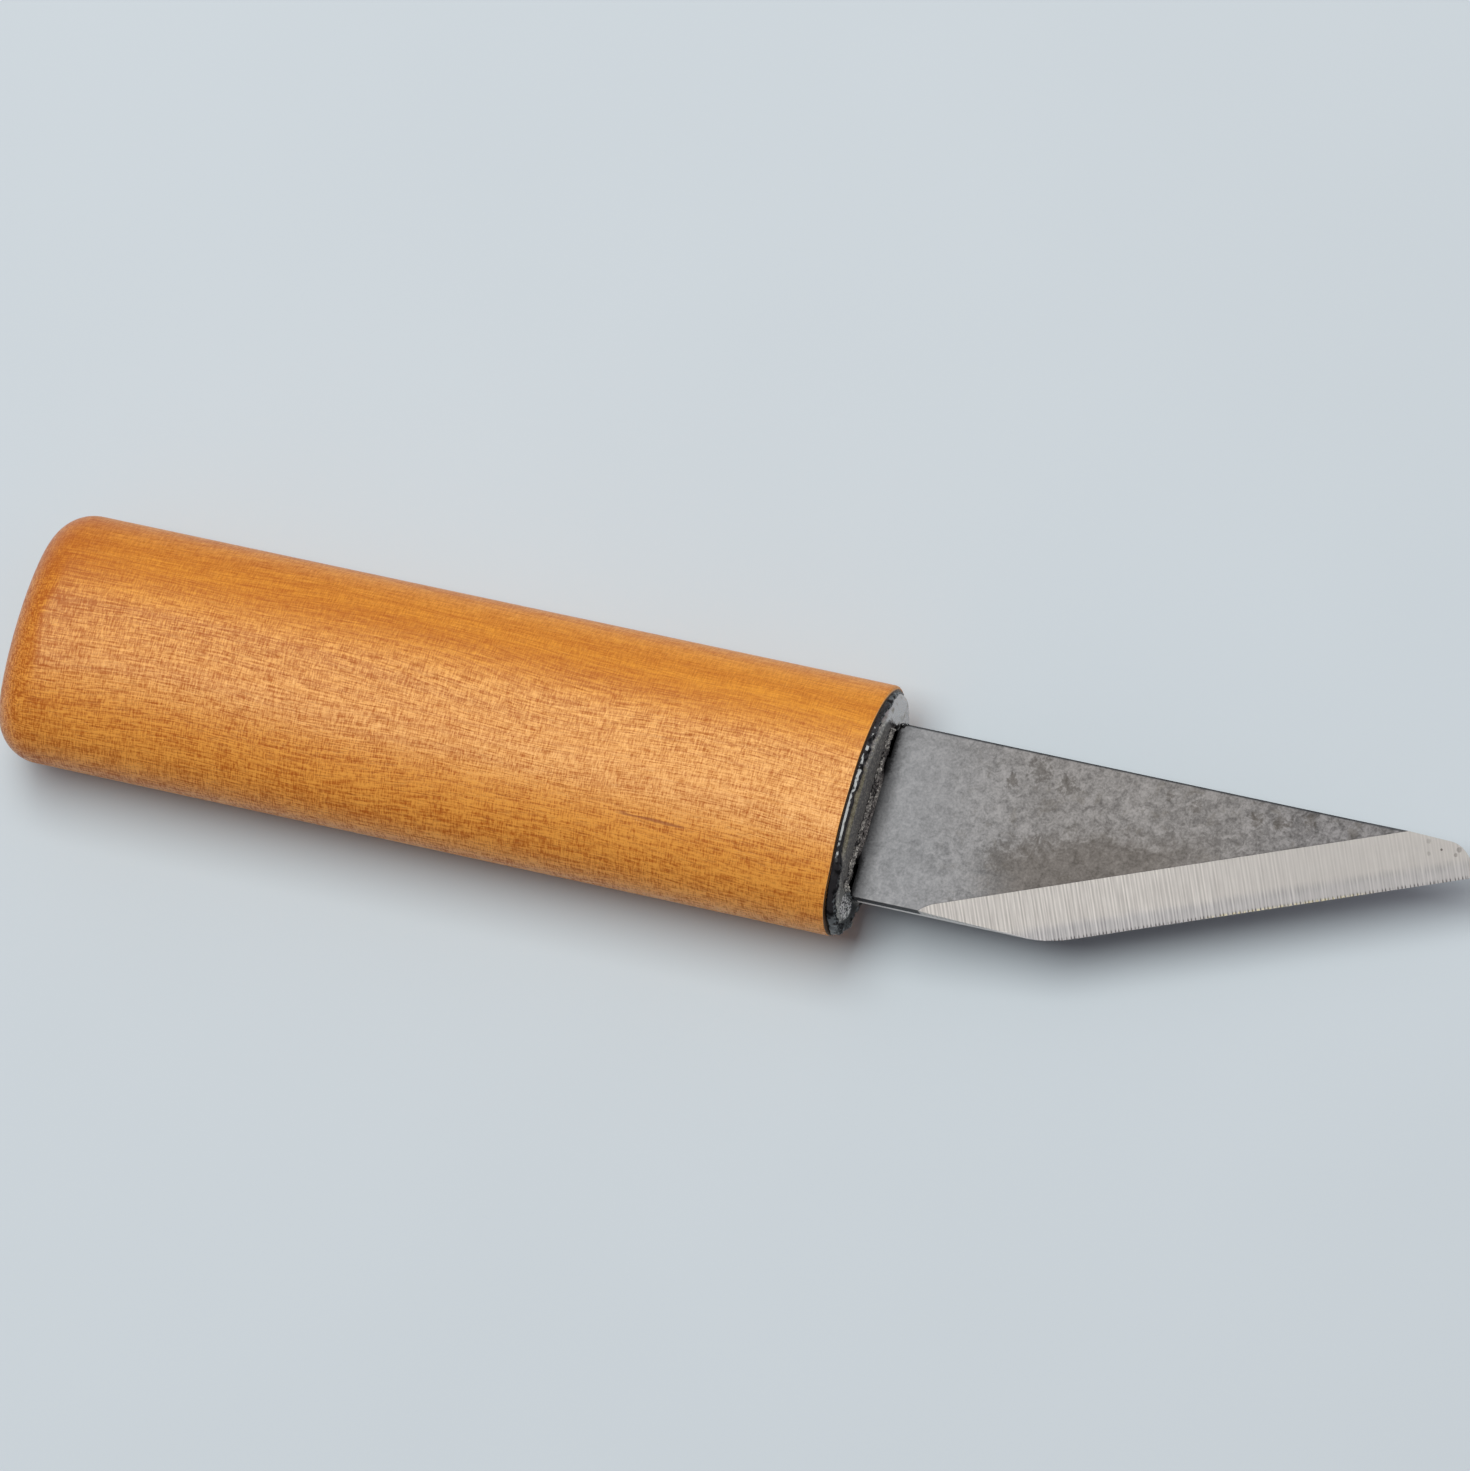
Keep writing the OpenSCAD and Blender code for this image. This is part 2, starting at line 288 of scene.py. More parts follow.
def handle_half_mesh(name, up):
    """Half oval carried along X. The butt shrinks it by a quarter circle and the mouth by a small one, larger
    at the spine's end. Its height is held under the flat by a soft minimum, and the seam's edges dip in by a
    hair. The plate's seat and the mortise are cut out of it."""
    near = np.array(SEAM_TURNS)
    around = np.concatenate([near, np.linspace(EVEN_FROM, np.pi - EVEN_FROM, 130), np.pi - near[::-1]])
    turn = np.linspace(0, np.pi / 2, 28)[:, None]
    ease = np.linspace(0, np.pi / 2, 7)[:, None]
    soft = MOUTH_SOFT + MOUTH_EASE * np.exp(-((1 - np.cos(around)) / EASE_REACH) ** 2)
    body = np.linspace(BUTT_X + BUTT_ROUND, MOUTH_X - MOUTH_SOFT - MOUTH_EASE, 110)[1:-1, None]
    level = 0 * around
    mouth = mouth_end(HALF_W * np.cos(around)) - soft * (1 - np.sin(ease))
    x = np.vstack([BUTT_X + BUTT_ROUND * (1 - np.cos(turn)) + level, body + level, mouth])
    inset = np.vstack([BUTT_ROUND * (1 - np.sin(turn)) + level, 0 * body + level, soft * (1 - np.cos(ease))])
    y = (HALF_W - inset) * np.cos(around)
    z = (OVAL_T - inset) * np.sin(around)
    z = HALF_T - FLAT_BLEND * np.log1p(np.exp((HALF_T - z) / FLAT_BLEND)) + 0 * y
    z[:, [0, -1]] = 0
    y = y - np.sign(y) * SEAM_DIP * np.exp(-(z / SEAM_REACH) ** 2)
    share = np.linspace(0, 1, 12)[1:-1]
    x = np.hstack([x, x[:, -1:] + (x[:, :1] - x[:, -1:]) * share])
    y = np.hstack([y, y[:, -1:] + (y[:, :1] - y[:, -1:]) * share])
    z = np.hstack([z, 0 * z[:, :1] * share])
    rows = np.stack([x, y, MID_Z + up * z], -1)
    middle = np.array([0, 0, MID_Z + up * HALF_T / 4])
    caps = [np.broadcast_to(middle + [end, 0, 0], (1, rows.shape[1], 3)) for end in (BUTT_X, MOUTH_X)]
    half = ring_mesh(name, np.concatenate([caps[0], rows, caps[1]]))
    seat_x = [PLATE_BACK, PLATE_BACK, MOUTH_X + CUT_PAST, MOUTH_X + CUT_PAST]
    seat_w = (HALF_W - RIM_WALL) * np.array([0, 1, 1, 0])
    seat_t = (HALF_T - RIM_WALL) * np.array([0, 1, 1, 0])
    seat = ring_mesh("seat", oval_rows(seat_x, seat_w, seat_t, 144))
    mortise = ring_mesh("mortise", tang_rows(BEDDING_GAP, MOUTH_X - MORTISE_SHORT))
    return cut_away(half, seat, mortise)


def mouth_plate_mesh():
    """Oval disc whose front edge is rounded by a quarter circle, a little off the middle of its seat, with a
    slot for the tang."""
    turn = np.linspace(0, np.pi / 2, 16)
    inset = PLATE_ROUND * (1 - np.cos(turn))
    rounding = PLATE_FRONT - PLATE_ROUND * (1 - np.sin(turn))
    x = np.concatenate([[PLATE_BACK, PLATE_BACK], rounding, [PLATE_FRONT]])
    half_w = np.concatenate([[0, PLATE_W], PLATE_W - inset, [0]])
    half_t = np.concatenate([[0, PLATE_T], PLATE_T - inset, [0]])
    disc = oval_rows(x, half_w, half_t, 240) + [0, PLATE_SHIFT, 0]
    slot_x = [PLATE_BACK - CUT_PAST, PLATE_FRONT + CUT_PAST]
    slot_w = [TANG_W / 2 + SLOT_GAP] * 2
    slot = bar_rows(slot_x, slot_w, BACK_Z - SLOT_GAP, TOP_Z + SLOT_GAP)
    return cut_away(ring_mesh("mouth_plate", disc), ring_mesh("slot", slot))


def rim_resin_mesh():
    """Lumpy bead carried round the oval gap: its outline goes from the wood's wall over a round top onto the
    plate's edge and back down the gap. It is wider where the plate stands off, lower at the spine's end and
    underneath, and smooth along one stretch. At the lower end it is fuller and spills over the wood's end."""
    turn = np.linspace(0, 2 * np.pi, 900, endpoint=False)[:, None]
    across = HALF_W * np.cos(turn)
    centre = np.stack(np.broadcast_arrays(0 * turn, across, HALF_T * np.sin(turn)), -1)
    upper = np.clip((np.sin(turn) - UPPER_FROM) / UPPER_EASE, 0, 1)
    rough = 1 - SMOOTH_SHARE * upper * np.exp(-((across - SMOOTH_Y) / SMOOTH_LONG) ** 4)
    spill = np.clip((turn - SPILL_FROM) / SPILL_START, 0, 1) * np.clip((SPILL_TO - turn) / SPILL_STOP, 0, 1)
    lower = np.clip((LOWER_Y - across) / LOWER_LONG, 0, 1)
    spine = np.exp(-((1 - np.cos(turn)) / DIP_REACH) ** 2)
    height = BEAD_H + UPPER_H * upper + SPILL_H * spill + LOWER_H * lower - SPINE_DIP * spine
    height = height * (1 + lumps(centre, BEAD_LUMPS) * rough)
    end = mouth_end(across)
    gap = HALF_W - PLATE_W - PLATE_SHIFT * np.cos(turn)
    ragged = 0.85 + lumps(centre, BEAD_RAGGED)
    start = BEAD_START - np.maximum(BEAD_SPILL * spill, BEAD_REACH * upper) * ragged
    width = gap + BEAD_LAP + LOWER_WIDER * lower - start + lumps(centre, BEAD_WIDTHS)
    fine = np.linspace(0, 1, 29) ** 1.3
    inset = start + width * fine
    x = MOUTH_X + height * np.interp(fine, BEAD_ACROSS, BEAD_RISE)
    x = np.where(inset < RIM_WALL, np.maximum(x, end + RESIN_SKIN), x)
    inset = np.hstack([inset, gap - RESIN_SINK, BEAD_START - RESIN_SINK + np.zeros((turn.size, 2))])
    foot = PLATE_BACK + RESIN_SINK + np.zeros((turn.size, 2))
    x = np.hstack([x, foot, np.minimum(x[:, :1], end) - RESIN_SINK])
    rows = np.stack([x, (HALF_W - inset) * np.cos(turn), MID_Z + (HALF_T - inset) * np.sin(turn)], -1)
    crumb = lumps(rows, BEAD_CRUMBS) * rough
    swell = np.where(x > end + RESIN_SINK, lumps(rows, BEAD_SWELL) * rough, 0)
    rows[..., 0] += np.where(x > MOUTH_X + RESIN_SINK, crumb, 0)
    rows[..., 1:] += swell[..., None] * np.stack([np.cos(turn), np.sin(turn)], -1)
    return ring_mesh("rim_resin", np.concatenate([rows, rows[:1]]))


def crumb_rows(centre, size):
    """Ball of this half width whose radius is roughened by noise."""
    down, around = np.linspace(0, np.pi, 17), np.linspace(0, 2 * np.pi, 24, endpoint=False)
    polar, turn = np.meshgrid(down, around, indexing="ij")
    ball = np.stack([np.sin(polar) * np.cos(turn), np.sin(polar) * np.sin(turn), np.cos(polar)], -1)
    return centre + ball * size * (1 + lumps(centre + ball * size, CRUMB_LUMPS)[..., None])


def root_resin_mesh():
    """Crumbs at the blade's root: one outline across the root, with a ridge on the plate above and below the
    blade and a sunk strip in the gap between them that is nearly full along its middle. It is carried from
    the spine to the lower edge and roughened by noise. A few loose crumbs lie by the spine."""
    run = np.linspace(0, 1, 420)[:, None]
    top_y, low_y = SPINE_Y - ROOT_INSIDE, LOW_Y - ROOT_PAST
    y = top_y + run * (low_y - top_y)
    taper = np.minimum(1, np.minimum(run, 1 - run) * 30) ** 0.5
    spread = SPINE_REACH * np.exp(-((y - top_y) / SPINE_LONG) ** 2)
    spread = spread + EDGE_REACH * np.exp(-((y - low_y) / EDGE_LONG) ** 2)
    full = np.clip((y - FULL_LOW_Y) / FULL_EASE, 0, 1) * np.clip((FULL_HIGH_Y - y) / FULL_EASE, 0, 1)
    coarse, fine = np.linspace(0, 1, len(ROOT_UP)), np.linspace(0, 1, 45)
    out, fill, up = (np.interp(fine, coarse, column) for column in (ROOT_OUT, ROOT_FILL, ROOT_UP))
    hump = np.sin(np.pi * np.clip((ROOT_UP[0] - up) / (ROOT_UP[0] / 2), 0, 1))
    x = PLATE_FRONT + (out + fill * full) * taper + spread * hump
    z = up * taper
    x, z = np.hstack([x, x[:, ::-1]]), np.hstack([z, -z[:, ::-1]])
    rows = np.stack(np.broadcast_arrays(x, y, MID_Z + z), -1).copy()
    lump = lumps(rows, ROOT_LUMPS) * taper * np.clip((np.abs(z) - LUMP_FROM) / LUMP_EASE, 0, 1)
    rows[..., 0] += LUMP_OUT * lump
    rows[..., 2] += LUMP_UP * lump * np.sign(z)
    crumbs = [crumb_rows(np.array(spot), size) for *spot, size in CRUMBS]
    return ring_mesh("root_resin", capped(rows), *crumbs)


def blade_outline(e):
    """Lower and upper limit of the blade across the edge at each length along it. Straight parts are the
    lines of the heel, the edge, the spine and the shoulder; arcs round the belly, the tip and two corners."""
    tip_e, tip_d = along_edge(*TIP_CENTRE)
    top_e, top_d = along_edge(SHOULDER_X + SHOULDER_R, SPINE_Y - SHOULDER_R)
    low_e, low_d = along_edge(SHOULDER_X + SHOULDER_R, LOW_Y + SHOULDER_R)
    belly = BELLY_R * math.tan(EDGE_ANGLE / 2)

    def bend(at, r):
        """Half height of a circle of radius r whose middle is at this length."""
        return np.sqrt(np.maximum(r ** 2 - (e - at) ** 2, 0))

    shoulder = (BELLY_POINT[0] - SHOULDER_X + e * COS) / SIN
    spine = (SPINE_Y - LOW_Y - e * SIN) / COS
    high = np.select(
        [e < low_e - SHOULDER_R * COS,
         (e > top_e - SHOULDER_R * COS) & (e < top_e + SHOULDER_R * SIN),
         e > tip_e + TIP_R * SIN],
        [low_d + bend(low_e, SHOULDER_R), top_d + bend(top_e, SHOULDER_R), tip_d + bend(tip_e, TIP_R)],
        np.minimum(shoulder, spine))
    low = np.select(
        [e < low_e - SHOULDER_R * SIN, e < -belly * COS, e < belly,
         e > tip_e + TIP_R * math.cos(EDGE_ANGLE + TIP_TURN)],
        [low_d - bend(low_e, SHOULDER_R), -e * TAN, BELLY_R - bend(belly, BELLY_R),
         tip_d - bend(tip_e, TIP_R)], 0.0)
    return low, np.maximum(high, low)


# Lengths along the edge: where the close ones start, their spacing, and the last stretch, which closes up
CLOSE_FROM, CLOSE_STEP, LAST_RUN = -16.0, 0.06, 3.0


def edge_stations():
    """Lengths along the cutting edge: wider over the heel, close over the bevel and closest at the tip."""
    tip_e = along_edge(*TIP_CENTRE)[0] + TIP_R
    low_e = along_edge(SHOULDER_X + SHOULDER_R, LOW_Y + SHOULDER_R)[0] - SHOULDER_R
    heel = low_e + (CLOSE_FROM - low_e) * np.linspace(0, 1, 60) ** 1.5
    tip = tip_e - LAST_RUN * np.linspace(1, 0, 60) ** 2
    return np.concatenate([heel, np.arange(CLOSE_FROM + 0.05, tip_e - LAST_RUN, CLOSE_STEP), tip])


# Ridges that the wheel leaves along the bevel: length of each wave, its share and its start
RIDGES = ((0.47, 1.0, 0.0), (0.29, 0.6, 1.1), (0.37, 0.5, 2.3), (1.9, 0.15, 0.4))
RIDGE_H = 0.0022
# Ridges: the share that is lost towards the tip, where half of it is lost, and over what length
RIDGE_LOSS, LOSS_AT, LOSS_LONG = 0.55, 24.0, 5.0
# Ridges: lengths over which they fade at the cutting edge and the crease, and the share left at the edge
RIDGE_EDGE, RIDGE_CREASE, RIDGE_LEAST = 0.6, 0.2, 0.25


def grind(e):
    """Height of the grinding ridges along the edge: a few waves of unlike length, weaker towards the tip."""
    wave = sum(share * np.sin(2 * np.pi * e / length + turn) for length, share, turn in RIDGES)
    return RIDGE_H * wave * (1 - RIDGE_LOSS / (1 + np.exp((LOSS_AT - e) / LOSS_LONG)))


def side_room(x, y):
    """Distances from a plan point to the spine, with the round tip, and to the lower edge."""
    past_tip = (x > TIP_CENTRE[0]) & (y > TIP_CENTRE[1])
    tip = np.where(past_tip, TIP_R - np.hypot(x - TIP_CENTRE[0], y - TIP_CENTRE[1]), TIP_R)
    return np.minimum(SPINE_Y - y, tip), y - LOW_Y


def drop(room, r):
    """How far a rounded edge of radius r lies below the flat at this distance from the side."""
    inside = np.clip(r - room, 0, r)
    return r - np.sqrt(r ** 2 - inside ** 2)


def upper_face(e, d):
    """Height of the blade's upper side: the lower of the rounded flat and the bevel's ridged slope."""
    x, y = in_plan(e, d)
    spine_room, heel_room = side_room(x, y)
    spine_round = SPINE_ROUND * np.clip((CREASE_END - e) / CREASE_FADE, ROUND_LEAST, 1) + 0 * d
    flat = TOP_Z - drop(spine_room, spine_round) - drop(heel_room, HEEL_ROUND)
    ends = np.clip(d / RIDGE_EDGE, RIDGE_LEAST, 1) * np.clip((BEVEL_W - d) / RIDGE_CREASE, 0, 1)
    nose = NOSE_LIFT * np.clip(-NOSE_AT - e, 0, None) ** 2
    bevel = BACK_Z + BLADE_T / BEVEL_W * d + nose + grind(e) * ends
    return np.minimum(flat, bevel)


# Places across the blade: distances in from a rounded side, and the furthest place past the crease
SIDE_PLACES = (0, 0.011, 0.033, 0.077, 0.143, 0.22, 0.33, 0.462, 0.605)
FLAT_REACH = 23.0


def across_blade(e, low, high):
    """Places across the blade between two limits: close at both rounded sides, even down the bevel to the
    crease, which falls off by a square law at the nose, and wider with distance over the flat. Places beyond
    a limit close up onto it."""
    side = np.array(SIDE_PLACES)[:, None]
    crease = BEVEL_W * (1 - NOSE_LIFT / BLADE_T * np.clip(-NOSE_AT - e, 0, None) ** 2)
    bevel = WELD_D + (crease - WELD_D) * np.linspace(0, 1, 12)[:, None]
    flat = crease + FLAT_REACH * np.linspace(0, 1, 26)[1:, None] ** 1.2
    places = np.concatenate([low + side, bevel, flat, high - side])
    return np.sort(np.clip(places, low, high), 0)


def blade_iron_mesh():
    """Soft iron: at each length along the edge a loop goes along the weld, up the spine's side, over the
    flat, down the bevel and down the heel's side. The tang is a second closed bar."""
    e = edge_stations()
    low, high = blade_outline(e)
    low = np.clip(low, WELD_D, None)
    keep = high > low
    e, low, high = e[keep], low[keep], high[keep]
    d = across_blade(e, low, high)[::-1]
    under = low + (high - low) * np.linspace(0, 1, 5)[:, None]
    loop_d = np.concatenate([under, d])
    loop_z = np.concatenate([np.full_like(under, WELD_Z), np.maximum(upper_face(e, d), WELD_Z)])
    x, y = in_plan(e, loop_d)
    rows = np.stack([x, y, loop_z], -1).swapaxes(0, 1)
    return ring_mesh("blade_iron", capped(rows), tang_rows(-TANG_INSET, SHOULDER_X + TANG_LAP))


def blade_edge_steel_mesh():
    """Hard steel: at each length along the edge a loop goes along the flat back, up the spine's side, along
    the weld and down the bevel to the cutting edge, which the ridges leave finely toothed."""
    e = edge_stations()
    low, high = blade_outline(e)
    teeth = np.where((e > 0) & (e < TEETH_END), TEETH_GAIN * grind(e) + TEETH_MEAN, 0)
    low = np.minimum(low + np.clip(teeth, 0, TEETH_MOST), high)
    back = low + (high - low) * np.linspace(0, 1, 9)[:, None]
    weld = high + (np.clip(WELD_D, low, high) - high) * np.linspace(0, 1, 5)[:, None]
    weld_z = np.minimum(WELD_Z, BACK_Z + BLADE_T / BEVEL_W * weld)
    slope = np.clip(WELD_D + (low - WELD_D) * np.linspace(0, 1, 16)[:, None], low, high)
    slope_z = np.clip(upper_face(e, slope), BACK_Z, WELD_Z)
    x, y = in_plan(e, np.concatenate([back, weld, slope]))
    z = np.concatenate([np.full_like(back, BACK_Z), weld_z, slope_z])
    rows = np.stack([x, y, z], -1).swapaxes(0, 1)
    return ring_mesh("blade_edge_steel", capped(rows))


class Tone:
    """A socket of a finish. Sums on it add Math nodes, and node() adds a node of any other kind."""

    def __init__(self, tree, socket=None):
        self.tree = tree
        self.socket = socket

    def node(self, kind, settings, sockets, out=0):
        """A new node: its settings go on first, then the values or links of its sockets."""
        made = self.tree.nodes.new("ShaderNode" + kind)
        for name, value in settings.items():
            setattr(made, name, value)
        for name, value in sockets.items():
            if isinstance(value, Tone):
                self.tree.links.new(value.socket, made.inputs[name])
            else:
                made.inputs[name].default_value = value
        return Tone(self.tree, made.outputs[out])

    def sum(self, operation, first, second):
        return self.node("Math", {"operation": operation}, {0: first, 1: second})

    def __add__(self, other):
        return self.sum("ADD", self, other)

    __radd__ = __add__

    def __sub__(self, other):
        return self.sum("SUBTRACT", self, other)

    def __rsub__(self, other):
        return self.sum("SUBTRACT", other, self)

    def __mul__(self, other):
        return self.sum("MULTIPLY", self, other)

    __rmul__ = __mul__

    def __truediv__(self, other):
        return self.sum("DIVIDE", self, other)

    def __rtruediv__(self, other):
        return self.sum("DIVIDE", other, self)

    def rise(self, low, high):
        """0 on the low side, 1 on the high side and a smooth step between them."""
        return self.node("MapRange", {"interpolation_type": "SMOOTHSTEP"},
                         {"Value": self, "From Min": low, "From Max": high})

    def grain(self, stretch, detail=2.0, roughness=0.5, distortion=0.0):
        """Noise over this place, with so many cells in a millimetre along each axis."""
        spot = self.node("VectorMath", {"operation": "MULTIPLY"}, {0: self, 1: stretch})
        return self.node("TexNoise", {}, {"Vector": spot, "Scale": 1.0, "Detail": detail,
                                          "Roughness": roughness, "Distortion": distortion})

    def tint(self, first, second):
        """Colour that goes from the first to the second as this goes from 0 to 1."""
        return self.node("Mix", {"data_type": "RGBA"}, {0: self, 6: first, 7: second}, 2)

    def bump(self, distance, strength=1.0):
        """Normal of a surface that this raises by a length in millimetres."""
        return self.node("Bump", {}, {"Strength": strength, "Distance": distance / PER_METRE, "Height": self})


def srgb(red, green, blue):
    """A colour as seen, 0 to 255, as the linear value that a shader takes."""
    seen = np.array([red, green, blue]) / 255
    return (*np.where(seen > 0.04045, ((seen + 0.055) / 1.055) ** 2.4, seen / 12.92).tolist(), 1.0)


def start_finish(name):
    """A new material, its place in millimetres as one vector, and that place's three parts."""
    finish = bpy.data.materials.new(name)
    finish.use_nodes = True
    start = Tone(finish.node_tree)
    where = start.node("TexCoord", {}, {}, "Object")
    place_mm = start.node("VectorMath", {"operation": "MULTIPLY"}, {0: where, 1: (PER_METRE,) * 3})
    parts = [start.node("SeparateXYZ", {}, {0: place_mm}, part) for part in range(3)]
    return finish, place_mm, parts


def dress(finish, values):
    """Sets or links the sockets of a material's shader."""
    shader = finish.node_tree.nodes["Principled BSDF"]
    for name, value in values.items():
        if isinstance(value, Tone):
            finish.node_tree.links.new(value.socket, shader.inputs[name])
        else:
            shader.inputs[name].default_value = value
    return finish


# A darker streak in the handle's grain: its middle, its half length, its slope and its half width
STREAK_X, STREAK_Y, STREAK_LONG, STREAK_SLOPE, STREAK_WIDE = -5.1, -7.87, 4.6, -0.028, 0.17


def handle_wood():
    """Orange stained wood: long bands, lines and fibres in gentle bends with dark hairlines and short pores,
    fine lines across them, one darker streak, a lighter rim along the upper side of the mouth and a dark end
    face. Painted light and shade make it paler towards the mouth and down the lower flank and darker at the
    butt, and a painted reflection turns its pale end bluer towards the lower side. Its satin lacquer shines
    most on the pale fibres."""
    finish, spot, (x, y, z) = start_finish("handle_wood")
    bend = (spot.grain((0.018, 0.05, 0.05), 1) - 0.5) * 9.0
    shift = spot.node("CombineXYZ", {}, {"X": 0.0, "Y": bend, "Z": 0.0})
    bent = spot.node("VectorMath", {"operation": "ADD"}, {0: spot, 1: shift})
    bands = bent.grain((0.012, 0.34, 0.24), 3)
    lines = bent.grain((0.02, 2.4, 1.8), 2, 0.6)
    fibre = bent.grain((0.34, 6.0, 6.0), 2, 0.6)
    hair = bent.grain((0.26, 5.6, 5.6), 1).rise(0.60, 0.70)
    pore = bent.grain((0.7, 5.0, 5.0), 1).rise(0.60, 0.70)
    weave = spot.grain((6.5, 1.1, 1.1), 2, 0.6)
    fleck = spot.grain((4.5, 4.0, 4.0), 2, 0.6)
    calm = 1.36 - y.rise(2, 9) * 0.66 + y.rise(-3, -9) * 0.4
    fine = ((fibre - 0.5) * 1.15 + (weave - 0.5) * 1.1 + (fleck - 0.5) * 0.3) * calm
    # Painted light and shade: paler down the lower flank and towards the mouth, darker at the butt, following
    # how the lamp and the lacquer's sheen fall
    painted_light_slope = y.rise(6, -9) * 0.1 + x.rise(-60, 15) * 0.09 - x.rise(-74, -85) * 0.12
    light = 0.44 + painted_light_slope + (bands - 0.5) * 0.38 + (lines - 0.5) * 0.36 + fine * 0.82
    # Painted reflection: the pale end of the tone turns bluer towards the lower side, standing in for the
    # floor's grazing reflection
    pale = y.rise(8, -6).tint(srgb(243, 163, 50), srgb(241, 163, 68))
    tone = light.rise(0.05, 0.95).tint(srgb(178, 88, 4), pale)
    tone = (hair * 0.16 * calm).tint(tone, srgb(150, 72, 10))
    tone = (pore * 0.17 * calm).tint(tone, srgb(146, 70, 12))
    run = (x - STREAK_X) / STREAK_LONG
    off = (y - STREAK_Y - (x - STREAK_X) * STREAK_SLOPE + (fibre - 0.5) * 0.5) / STREAK_WIDE
    streak = (run * run).rise(1.0, 0.5) * (off * off).rise(1.2, 0.0) * z.rise(MID_Z + 4, MID_Z + 5)
    tone = (streak * 0.7).tint(tone, srgb(142, 62, 22))
    depth = x + y.rise(CUT_FROM_Y, CUT_TO_Y) * MOUTH_CUT - float(MOUTH_X)
    # A lighter band along the wood's rim at the mouth, on its upper side only
    light_upper_rim = depth.rise(-0.15, -0.06) * z.rise(MID_Z + 1, MID_Z + 4)
    tone = (light_upper_rim * 0.35).tint(tone, srgb(246, 186, 112))
    tone = (depth.rise(-0.05, -0.015) * 0.9).tint(tone, srgb(60, 50, 44))
    relief = fibre * 0.5 + weave * 0.4 + fleck * 0.3 - hair * 0.3 - pore * 0.3
    rough = fine.sum("MAXIMUM", 0.41 - fine * 0.36 + pore * 0.1, 0.22)
    coat = fine.sum("MAXIMUM", 0.2 + fine * 0.5 - hair * 0.04 - pore * 0.05, 0.0)
    return dress(finish, {"Base Color": tone, "Normal": relief.bump(0.03, 0.7), "Roughness": rough,
                          "Specular IOR Level": 0.48, "Specular Tint": (1.0, 0.98, 0.7, 1.0),
                          "Coat Weight": coat, "Coat Roughness": 0.34})


def root_full(y):
    """1 over the stretch of the root that the resin nearly fills, and 0 past its two ends."""
    return y.rise(FULL_LOW_Y, FULL_LOW_Y + FULL_EASE) * y.rise(FULL_HIGH_Y, FULL_HIGH_Y - FULL_EASE)


def black_resin():
    """Black resin under a gloss that comes and goes and covers the bead's smooth stretch, dull grey and full
    of pale crumbs at the blade's root."""
    finish, spot, (x, y, z) = start_finish("black_resin")
    crumb = spot.grain((5, 5, 5), 3, 0.6)
    tall = z.node("Math", {"operation": "ABSOLUTE"}, {0: z - MID_Z})
    spread = tall.sum("MAXIMUM", tall.rise(1.7, 2.2), root_full(y))
    root = x.rise(PLATE_FRONT + 0.03, PLATE_FRONT + 0.12) * spread
    grit = spot.grain((3.6, 3.6, 3.6), 2, 0.6).rise(0.54, 0.62) * root
    dull = spot.grain((1.2, 1.2, 1.2), 2).rise(0.5, 0.75)
    run = (y - SMOOTH_Y) / SMOOTH_LONG
    patch = spot.grain((1.1, 1.1, 1.1), 2).rise(0.34, 0.52)
    stretch = (run * run).rise(1.0, 0.6) * z.rise(MID_Z + 2, MID_Z + 3)
    gloss = patch.sum("MAXIMUM", patch, stretch) * (1 - root)
    smooth = crumb.rise(0.66, 0.8).tint(srgb(13, 13, 14), srgb(80, 79, 77))
    crusty = crumb.rise(0.36, 0.64).tint(srgb(70, 69, 67), srgb(190, 186, 178))
    tone = grit.tint(root.tint(smooth, crusty), srgb(222, 218, 208))
    return dress(finish, {"Base Color": tone, "Roughness": 0.3 + dull * 0.1 + root * 0.2 + grit * 0.1,
                          "Normal": (crumb * (0.2 + root * 0.8)).bump(0.05, 0.7), "Specular IOR Level": 0.1,
                          "Coat Weight": 0.06 + gloss * 0.94, "Coat Roughness": 0.12, "Coat IOR": 1.8})


